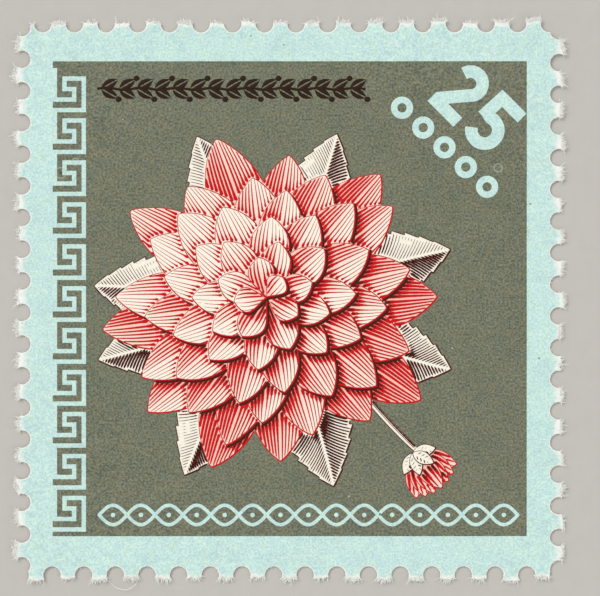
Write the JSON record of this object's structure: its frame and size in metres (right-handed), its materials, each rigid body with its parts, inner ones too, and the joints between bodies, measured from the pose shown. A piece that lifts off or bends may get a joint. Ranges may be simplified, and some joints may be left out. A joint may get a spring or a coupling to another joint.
{
  "type": "postage stamp",
  "caption": "Square printed and gummed paper stamp with perforated edges, lying face up, for sticking on a letter or keeping in an album.",
  "frame": {"origin": "middle of the stamp's box, on the gummed face that it lies on", "axes": "+Z out of the printed face, +Y towards the top of the design, +X towards its right side"},
  "size_m": [0.0314, 0.0322, 0.0001],
  "materials": {
    "printed_paper": "uncoated paper with a pale blue and olive offset print, raised red and dark brown engraved lines on top and dull dried gum on the back"
  },
  "bodies": {
    "root": {"stamp": "printed_paper"}
  },
  "joints": []
}
